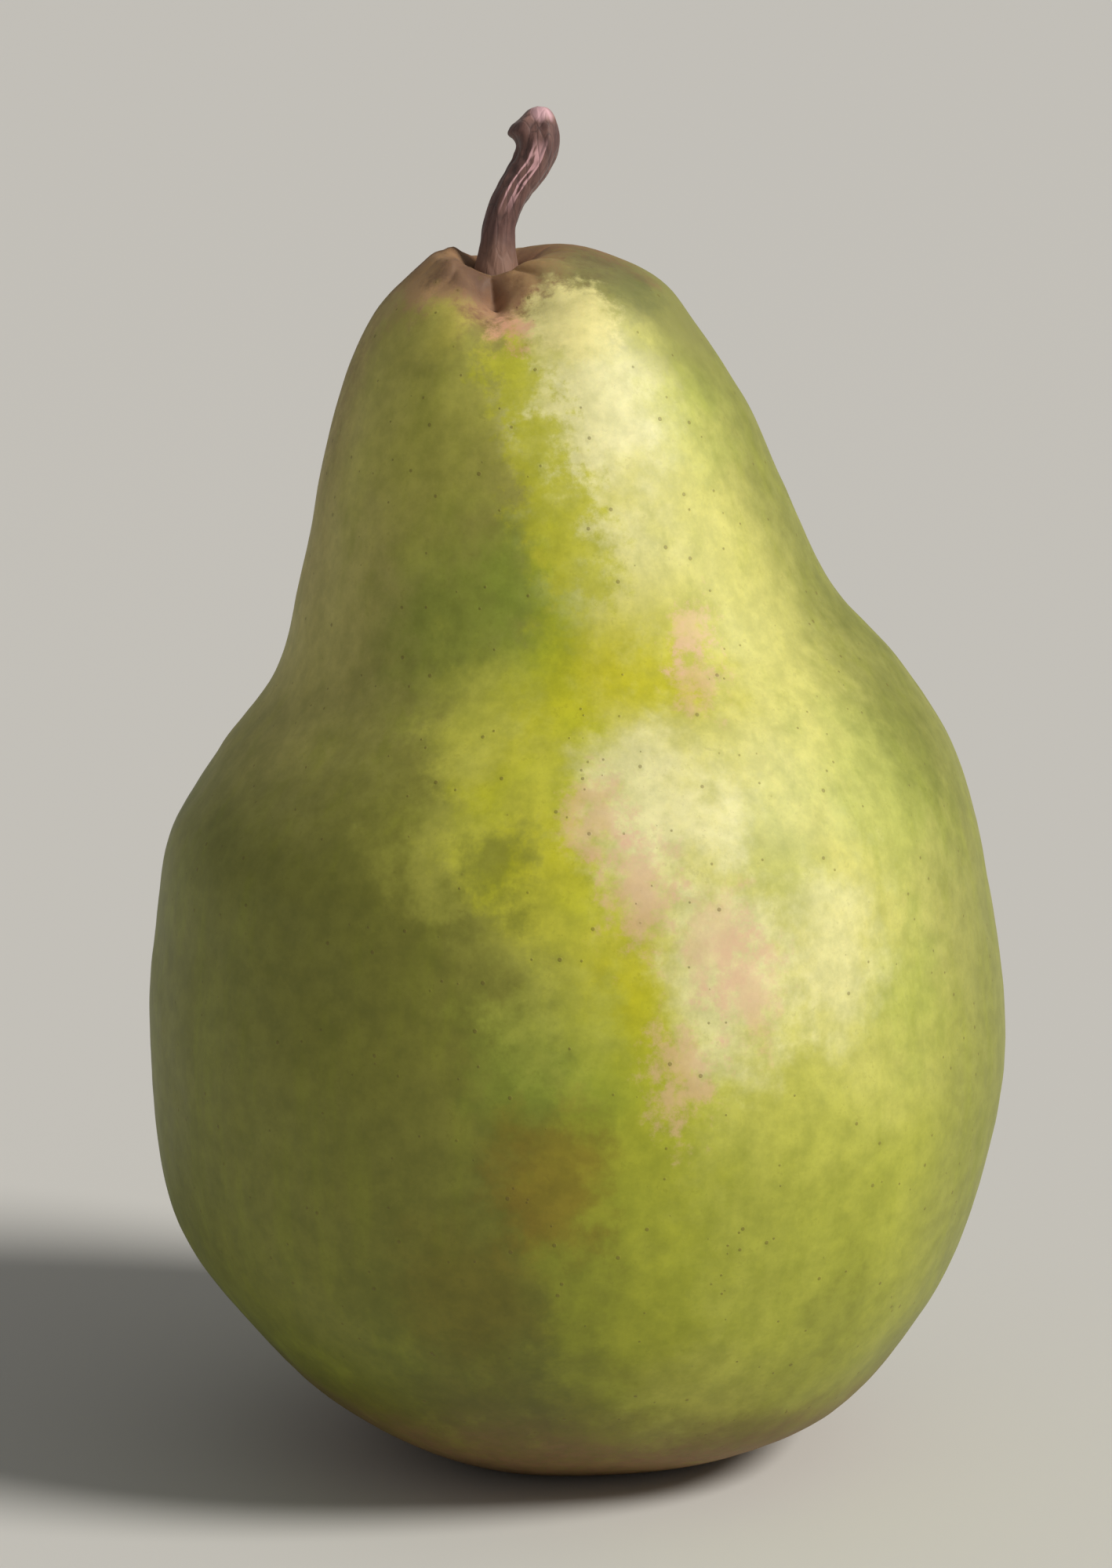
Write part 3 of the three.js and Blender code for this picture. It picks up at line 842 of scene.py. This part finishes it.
def skin_colour(s, russet, pores):
    """The ground with its patches, among them painted light, painted highlights and painted shade,
    and its mottling, then the russet, the pink touches and pores.
    """
    wide = s.calc("MULTIPLY", s.drift(5.0, 5.0, 0.65), 14.0)
    fine = s.calc("MULTIPLY", s.drift(1.8, 5.0, 0.7), 13.0)
    slight = s.calc("MULTIPLY_ADD", wide, 0.25, s.calc("MULTIPLY", fine, 0.5))

    streaks = s.step(s.noise(1.0, 4.0, 0.6, s.stretched(0.35, 0.35, 0.05)), 0.48, 0.72)
    colour = s.over(ground_colour(s), STREAK, streaks, 0.3)
    for layer in (YELLOW_AND_PAINTED_LIGHT_LAYER, GREEN_LAYER, PALE_PAINTED_LIGHT_LAYER, OLIVE_AND_PAINTED_SHADE_LAYER, CREAM_PAINTED_HIGHLIGHT_LAYER):
        colour = layered(s, colour, layer, wide)
    colour = layered(s, colour, BAND_PAINTED_LIGHT_LAYER, fine)
    colour = layered(s, colour, BROWN_LAYER, wide)

    mottle = s.noise(2.2, 5.0, 0.68)
    tone = s.mix(s.step(mottle, 0.25, 0.75), DARK_TONE, LIGHT_TONE)
    colour = s.mix(0.8, colour, tone, "MULTIPLY")
    flecks = s.step(s.noise(0.7, 4.0, 0.72), 0.56, 0.68)
    flecks = s.calc("MULTIPLY", flecks, s.step(mottle, 0.4, 0.6))
    colour = s.over(colour, FLECK_TONE, flecks, 0.3, "MULTIPLY")

    colour = s.over(colour, SHOULDER_OLIVE, patch(s, (6.5, -3.0, 99.0), 4.0, 12.0, wide), 0.75)
    colour = s.mix(russet, colour, russet_colour(s, slight))
    for place, inner, outer, strength, tint in RUSSET_EDGES_AND_PAINTED_LIGHT:
        mottled = s.mix(0.8, tint, tone, "MULTIPLY")
        colour = s.over(colour, mottled, patch(s, place, inner, outer, slight), strength)

    colour = layered(s, colour, PINK_LAYER, fine)
    cleft_mouth = patch(s, (-5.5, -11.0, 96.5), 0.5, 2.6, s.calc("MULTIPLY", fine, 0.6))
    colour = s.over(colour, MOUTH_PINK, cleft_mouth, 0.8)
    colour = s.over(colour, HALO, dots(s, 2.1, 0.5, 0.55), 0.1)
    return s.over(colour, PORE, pores, 0.5)


def skin_material():
    """Waxy skin: a little light passes into it, and the russet and pores are dull and rough."""
    s = Shader("pear_skin")
    russet = russet_cover(s)
    pores = s.calc("MAXIMUM", dots(s, 2.1, 0.2, 0.6), dots(s, 1.4, 0.13, 0.45))
    rough = s.calc("MULTIPLY_ADD", russet, 0.22, 0.48)
    rough = s.calc("MULTIPLY_ADD", s.noise(5.0, 3.0), 0.12, rough)
    normal = s.bump(s.noise(0.8, 4.0, 0.6), 0.03, 0.5)
    corky = s.calc("MULTIPLY_ADD", russet, s.noise(0.5, 4.0, 0.7), pores)
    return s.finish(
        Base_Color=skin_colour(s, russet, pores),
        Roughness=rough,
        Normal=s.bump(corky, 0.05, 0.6, normal),
        IOR=1.4,
        Subsurface_Weight=0.15,
        Subsurface_Radius=(1.0, 0.75, 0.25),
        Subsurface_Scale=3 * MM,
        Coat_Weight=0.06,
        Coat_Roughness=0.35,
    )


def bark_material():
    """Mauve-brown bark with pale worn streaks, a pink painted highlight down its front, dark
    cracks, a pale cut end with a pink painted highlight on the knob and a tan root.
    """
    s = Shader("stalk_bark")
    height = s.height()
    grain = s.noise(0.7, 5.0, 0.65, s.stretched(1.0, 1.0, 0.22))
    colour = s.mix(s.step(grain, 0.35, 0.65), DARK_BARK, LIGHT_BARK)
    worn = s.noise(1.5, 3.0, 0.6, s.stretched(1.0, 1.0, 0.3))
    colour = s.over(colour, WORN_BARK, s.step(worn, 0.56, 0.7), 0.25)

    # Painted highlight: a pink streak where the stalk faces the front, partway up
    outwards = s.tree.nodes.new("ShaderNodeTexCoord").outputs["Normal"]
    front = s.dot(outwards, Vector((0.05, -0.95, 0.25)).normalized())
    bend = s.calc("MULTIPLY", s.step(height, 105.0, 107.5), s.away(height, 109.8, 111.4))
    front_highlight = s.calc("MULTIPLY", s.step(front, 0.965, 0.99), bend)
    colour = s.over(colour, STALK_PAINTED_HIGHLIGHT, front_highlight, 0.85)
    cracks = s.cells(1.1, vector=s.stretched(1.3, 1.3, 0.22), feature="DISTANCE_TO_EDGE")
    colour = s.over(colour, CRACK, s.away(cracks, 0.0, 0.07), 0.45)

    cut = s.calc("MULTIPLY", s.step(height, 112.3, 113.0), s.step(s.noise(0.8, 3.0), 0.3, 0.5))
    colour = s.over(colour, CUT_END, cut, 0.35)
    # Painted highlight: a pink spot on the top right of the knob
    knob_highlight = patch(s, (-3.1, -0.9, 112.9), 0.7, 1.35, s.calc("MULTIPLY", grain, 0.3))
    colour = s.over(colour, KNOB_PAINTED_HIGHLIGHT, knob_highlight, 0.9)
    root = s.away(s.calc("MULTIPLY_ADD", worn, 2.5, height), 101.5, 105.5)
    colour = s.over(colour, ROOT_TAN, root, 0.65)
    depth = s.calc("MULTIPLY_ADD", s.step(cracks, 0.0, 0.12), 0.4, grain)
    return s.finish(
        Base_Color=colour,
        Roughness=s.calc("MULTIPLY_ADD", grain, 0.2, 0.55),
        Normal=s.bump(depth, 0.08, 0.6),
        Sheen_Weight=0.15,
        Sheen_Roughness=0.5,
    )


def calyx_material():
    """Dry brown sepals and stamens: papery, mottled, with fine paler veins."""
    s = Shader("dry_calyx")
    colour = s.mix(s.step(s.noise(1.6, 4.0, 0.65), 0.35, 0.65), DARK_SEPAL, LIGHT_SEPAL)
    veins = s.noise(0.35, 4.0, 0.6)
    colour = s.over(colour, SEPAL_VEIN, s.step(veins, 0.52, 0.66), 0.5)
    return s.finish(
        Base_Color=colour,
        Roughness=0.85,
        Normal=s.bump(veins, 0.08, 0.6),
        Sheen_Weight=0.4,
        Sheen_Roughness=0.4,
    )


# --- Stage ------------------------------------------------------------------------------------

def direction(azimuth, elevation):
    """The unit vector that points this way, with azimuth 0 along x."""
    level = math.cos(elevation)
    return Vector((math.cos(azimuth) * level, math.sin(azimuth) * level, math.sin(elevation)))


def make_floor():
    corners = np.array([(-1, -1, 0), (1, -1, 0), (1, 1, 0), (-1, 1, 0)]) * FLOOR_REACH
    floor = make_mesh("floor", [(corners, [[0, 1, 2, 3]])])
    s = Shader("floor")
    floor.data.materials.append(s.finish(Base_Color=FLOOR_COLOUR, Roughness=0.9))


def make_key_light():
    """Soft sunlight from the right and a little in front."""
    key = bpy.data.lights.new("key", "SUN")
    key.energy = KEY_STRENGTH
    key.angle = KEY_SPREAD
    key.color = KEY_COLOUR
    lamp = bpy.data.objects.new("key", key)
    bpy.context.scene.collection.objects.link(lamp)
    lamp.rotation_euler = direction(KEY_AZIMUTH, KEY_ELEVATION).to_track_quat("Z", "Y").to_euler()


def make_studio():
    """Even light from all round, weaker on the objects than the camera sees it."""
    world = bpy.data.worlds.new("studio")
    bpy.context.scene.world = world
    world.use_nodes = True
    tree = world.node_tree
    seen = tree.nodes.new("ShaderNodeLightPath").outputs["Is Camera Ray"]
    back = tree.nodes["Background"]
    level = tree.nodes.new("ShaderNodeMapRange")
    level.inputs["To Min"].default_value = STUDIO_LIGHT
    level.inputs["To Max"].default_value = STUDIO_SEEN
    tree.links.new(seen, level.inputs["Value"])
    tree.links.new(level.outputs[0], back.inputs["Strength"])
    back.inputs["Color"].default_value = STUDIO_COLOUR


def make_camera():
    data = bpy.data.cameras.new("camera")
    data.lens = LENS
    data.clip_start = 0.01
    camera = bpy.data.objects.new("camera", data)
    bpy.context.scene.collection.objects.link(camera)
    way = direction(-math.pi / 2, VIEW_ELEVATION)
    camera.location = VIEW_TARGET + way * VIEW_DISTANCE
    camera.rotation_euler = way.to_track_quat("Z", "Y").to_euler()
    bpy.context.scene.camera = camera


make_skin().data.materials.append(skin_material())
make_stalk().data.materials.append(bark_material())
make_calyx().data.materials.append(calyx_material())
make_floor()
make_key_light()
make_studio()
make_camera()
bpy.context.scene.view_settings.view_transform = "Standard"
